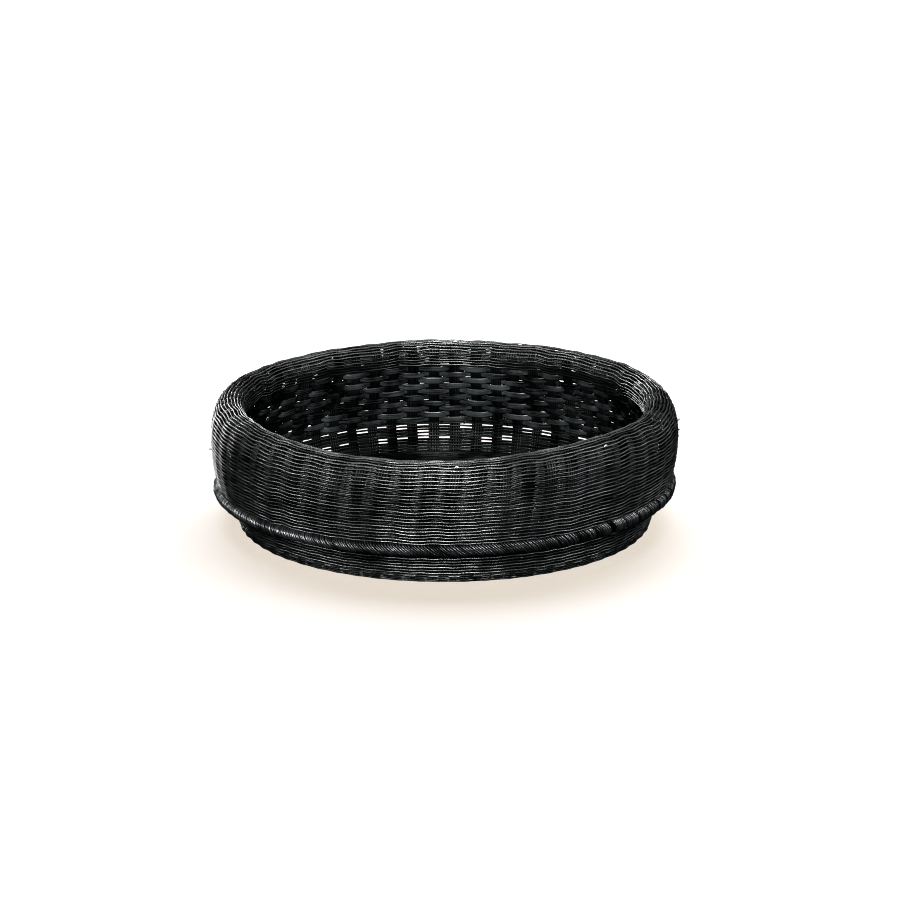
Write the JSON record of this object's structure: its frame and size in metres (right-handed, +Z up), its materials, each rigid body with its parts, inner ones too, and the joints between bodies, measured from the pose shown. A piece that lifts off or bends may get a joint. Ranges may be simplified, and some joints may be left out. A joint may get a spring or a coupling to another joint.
{
  "type": "woven fruit basket",
  "caption": "Low round open fruit basket woven from black cane, with a folded double wall that bulges outwards, a lashed belt and a narrower woven foot.",
  "frame": {"origin": "on the table, under the centre of the basket", "axes": "+Z up along the basket's axis; -Y is the front, and the belt's splice is to the front right"},
  "size_m": [0.4, 0.4, 0.108],
  "materials": {
    "fine_strand": "semi-gloss black dyed cane",
    "splint": "satin black dyed flat cane splint",
    "cane": "satin black dyed round cane",
    "base_strand": "satin black dyed cane",
    "lashing": "semi-gloss black dyed cane"
  },
  "bodies": {
    "root": {"stakes": "cane", "base_sticks_long": "cane", "base_sticks_cross": "cane", "base_weave": "base_strand", "foot_weave": "fine_strand", "lining_splint_1": "splint", "lining_splint_2": "splint", "lining_splint_3": "splint", "lining_splint_4": "splint", "lining_splint_5": "splint", "lining_splint_6": "splint", "lining_splint_7": "splint", "lining_splint_8": "splint", "lining_splint_9": "splint", "lining_splint_10": "splint", "inner_band_weave": "fine_strand", "rim_weave": "fine_strand", "outer_weave_upper": "fine_strand", "outer_weave_lower": "fine_strand", "belt_core": "cane", "belt_lashing": "lashing", "belt_splice": "lashing"}
  },
  "joints": []
}
